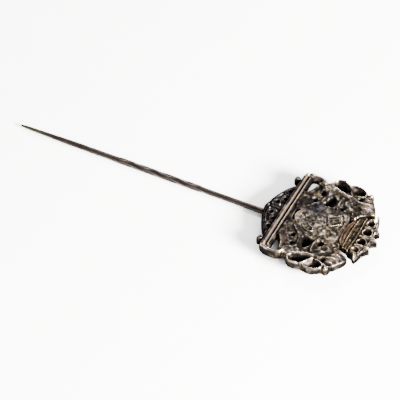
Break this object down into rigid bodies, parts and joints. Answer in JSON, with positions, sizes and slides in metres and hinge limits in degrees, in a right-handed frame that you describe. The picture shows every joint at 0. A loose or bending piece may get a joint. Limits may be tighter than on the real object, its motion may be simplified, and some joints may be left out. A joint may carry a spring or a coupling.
{
  "type": "hat pin",
  "caption": "Short pointed hat pin with a twisted grip and a pierced heraldic head: crown, shield, two rampant supporters, plinth and scroll apron.",
  "frame": {"origin": "on the shank's axis, where the shank leaves the head", "axes": "+Y towards the crown, the shank runs along -Y; +Z out of the head's face; +X to the viewer's right of the face"},
  "size_m": [0.029, 0.0929, 0.0045],
  "materials": {
    "silver_relief": "cast silver, tarnished dark in the recesses and rubbed bright on the high points",
    "back_metal": "dull tarnished silver, file marks",
    "apron_metal": "cast silver, darker tarnish",
    "gilt_lining": "worn gilding, browned",
    "shank_wire": "drawn wire with a dark brown patina, olive towards the point",
    "solder": "dull grey solder"
  },
  "bodies": {
    "root": {"pin_shank": "shank_wire", "solder_pad": "back_metal", "solder_fillets": "solder", "base_plate": "back_metal", "crown_points": "silver_relief", "crown_circlet": "silver_relief", "circlet_stones": "silver_relief", "crown_lining": "gilt_lining", "shield": "silver_relief", "shield_canton": "silver_relief", "supporter_left": "silver_relief", "supporter_right": "silver_relief", "tail_left": "silver_relief", "tail_right": "silver_relief", "plinth_bar": "silver_relief", "plinth_end_left": "silver_relief", "plinth_end_right": "silver_relief", "apron_fan": "apron_metal", "apron_scroll_left": "apron_metal", "apron_scroll_right": "apron_metal"}
  },
  "joints": []
}
